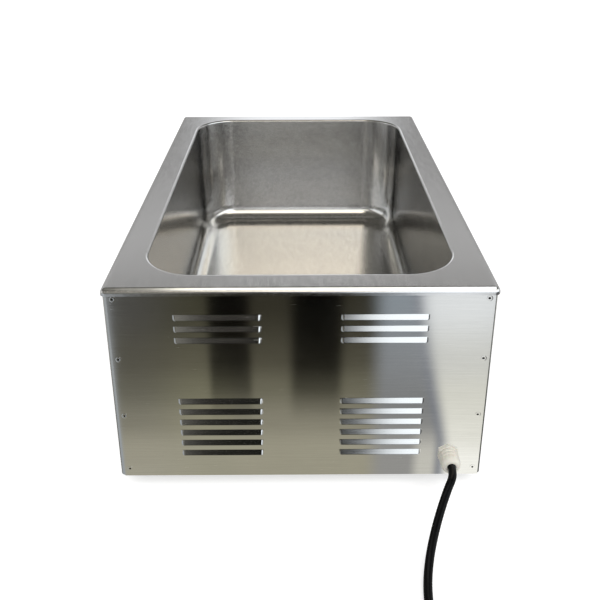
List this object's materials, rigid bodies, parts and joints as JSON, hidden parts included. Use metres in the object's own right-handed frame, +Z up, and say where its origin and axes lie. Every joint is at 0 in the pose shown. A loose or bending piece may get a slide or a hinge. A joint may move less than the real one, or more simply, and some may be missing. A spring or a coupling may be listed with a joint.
{
  "type": "countertop food warmer",
  "caption": "Rectangular stainless countertop food warmer: one full-size drawn well, louvred rear service panel, front knob and lamp, rubber feet, supply cord and plug.",
  "frame": {"origin": "on the surface that the feet stand on, at the centre of the deck in plan", "axes": "+Z up, the controls face -Y, the louvred service panel and the cord face +Y, +X completes a right-handed frame; the long side of the well lies along Y"},
  "size_m": [0.3682, 0.8859, 0.2286],
  "materials": {
    "panel_steel": "bright stainless, brushed across, showing blurred dark and white bands",
    "drawn_steel": "satin deep-drawn stainless, softly reflecting",
    "cord_jacket": "black jacket, satin",
    "knob_plastic": "black phenolic, semi-gloss",
    "galvanised_steel": "plain galvanised sheet",
    "element_sheath": "dull heat-stained sheath",
    "body_steel": "satin stainless wrapper, grain along the body",
    "gland_nylon": "ivory nylon",
    "black_plastic": "black moulded plastic",
    "foot_rubber": "black rubber",
    "white_ceramic": "matt white ceramic",
    "lamp_lens": "amber lens",
    "brass_fittings": "plain brass",
    "plug_plastic": "black moulded plug",
    "wire_black": "high-temperature wire insulation",
    "wire_white": "high-temperature wire insulation",
    "wire_red": "high-temperature wire insulation",
    "rivet_steel": "plain steel rivet with a dark open core",
    "plated_steel": "bright zinc plate",
    "wire_green": "high-temperature wire insulation",
    "tie_plastic": "black strap tie",
    "mineral_wool": "felted mineral wool"
  },
  "bodies": {
    "warmer": {"rear_panel": "panel_steel", "well_top": "drawn_steel", "cord_coil": "cord_jacket", "base_plate": "galvanised_steel", "heating_element": "element_sheath", "body_wrapper": "body_steel", "gland_dome_nut": "gland_nylon", "cord_run": "cord_jacket", "pilot_lamp_body": "black_plastic", "foot_1": "foot_rubber", "foot_2": "foot_rubber", "foot_3": "foot_rubber", "foot_4": "foot_rubber", "gland_body": "gland_nylon", "thermostat_body": "white_ceramic", "pilot_lamp_lens": "lamp_lens", "thermostat_bulb": "brass_fittings", "element_strap_1": "galvanised_steel", "element_strap_2": "galvanised_steel", "element_strap_3": "galvanised_steel", "plug_body": "plug_plastic", "lead_live": "wire_black", "lead_neutral": "wire_white", "lead_lamp_live": "wire_red", "panel_rivet_1": "rivet_steel", "panel_rivet_2": "rivet_steel", "panel_rivet_3": "rivet_steel", "panel_rivet_4": "rivet_steel", "panel_rivet_5": "rivet_steel", "panel_rivet_6": "rivet_steel", "panel_rivet_7": "rivet_steel", "panel_rivet_8": "rivet_steel", "gland_seal": "foot_rubber", "lead_earth": "wire_green", "lead_lamp_neutral": "wire_white", "terminal_block": "white_ceramic", "cord_tie": "tie_plastic", "foot_screw_1": "plated_steel", "foot_screw_2": "plated_steel", "foot_screw_3": "plated_steel", "foot_screw_4": "plated_steel", "insulation_pad": "mineral_wool", "thermostat_screw_1": "plated_steel", "thermostat_screw_2": "plated_steel", "lead_supply_live": "wire_black", "lead_supply_neutral": "wire_white", "lead_element": "wire_red", "element_bush_1": "white_ceramic", "element_bush_2": "white_ceramic", "pilot_lamp_nut": "black_plastic", "gland_locknut": "gland_nylon", "heat_shield": "galvanised_steel", "earth_nut": "brass_fittings", "cord_tail": "cord_jacket", "plug_earth_pin": "brass_fittings", "plug_blade_1": "brass_fittings", "plug_blade_2": "brass_fittings"},
    "knob": {"control_knob": "knob_plastic", "thermostat_shaft": "plated_steel"}
  },
  "joints": [
    {"name": "knob_turn", "type": "hinge", "parent": "warmer", "child": "knob", "pos_m": [0.1, -0.295, 0.0411], "axis": [0, 1, 0], "range_deg": [0, 300]}
  ]
}
